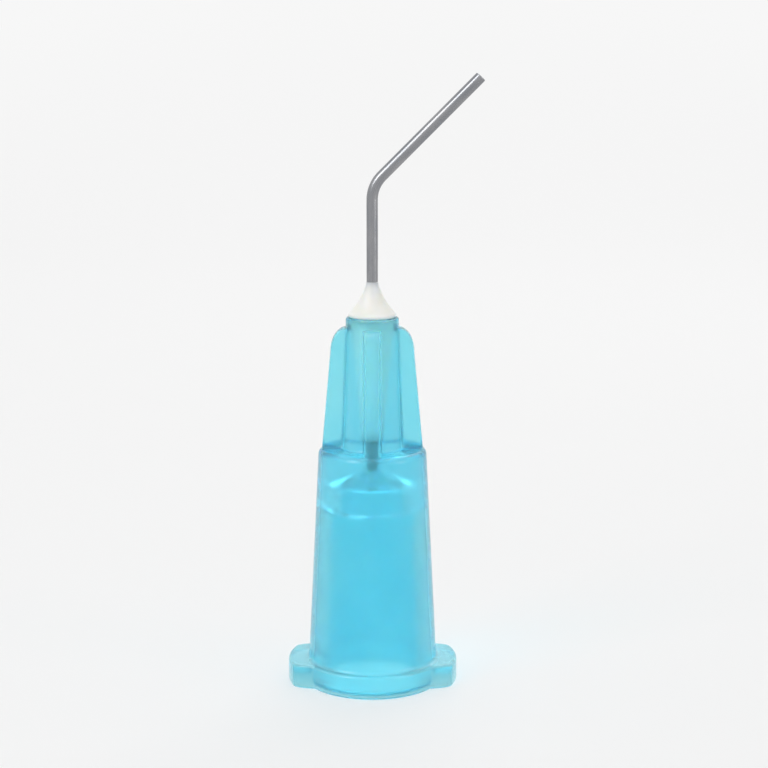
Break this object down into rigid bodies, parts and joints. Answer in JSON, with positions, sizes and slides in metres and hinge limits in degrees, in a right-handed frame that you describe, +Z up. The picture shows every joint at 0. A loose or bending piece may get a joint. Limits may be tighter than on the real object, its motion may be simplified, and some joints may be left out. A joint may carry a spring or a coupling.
{
  "type": "dispensing needle tip",
  "caption": "Blunt dispensing needle tip: a translucent blue plastic Luer-lock hub with lugs and fins, and a thin steel cannula bent to one side, set in a cream glue bead.",
  "frame": {"origin": "centre of the hub's open end, on its flat face, midway between the two lugs", "axes": "+Z up the hub's axis from the open end to the nose, +X the way the cannula bends"},
  "size_m": [0.0089, 0.0064, 0.0279],
  "materials": {
    "hub_plastic": "translucent moulded polypropylene, smooth",
    "steel": "drawn stainless tube, bright",
    "glue": "cured cream epoxy, satin"
  },
  "bodies": {
    "root": {"hub": "hub_plastic", "cannula": "steel", "glue_bead": "glue"}
  },
  "joints": []
}
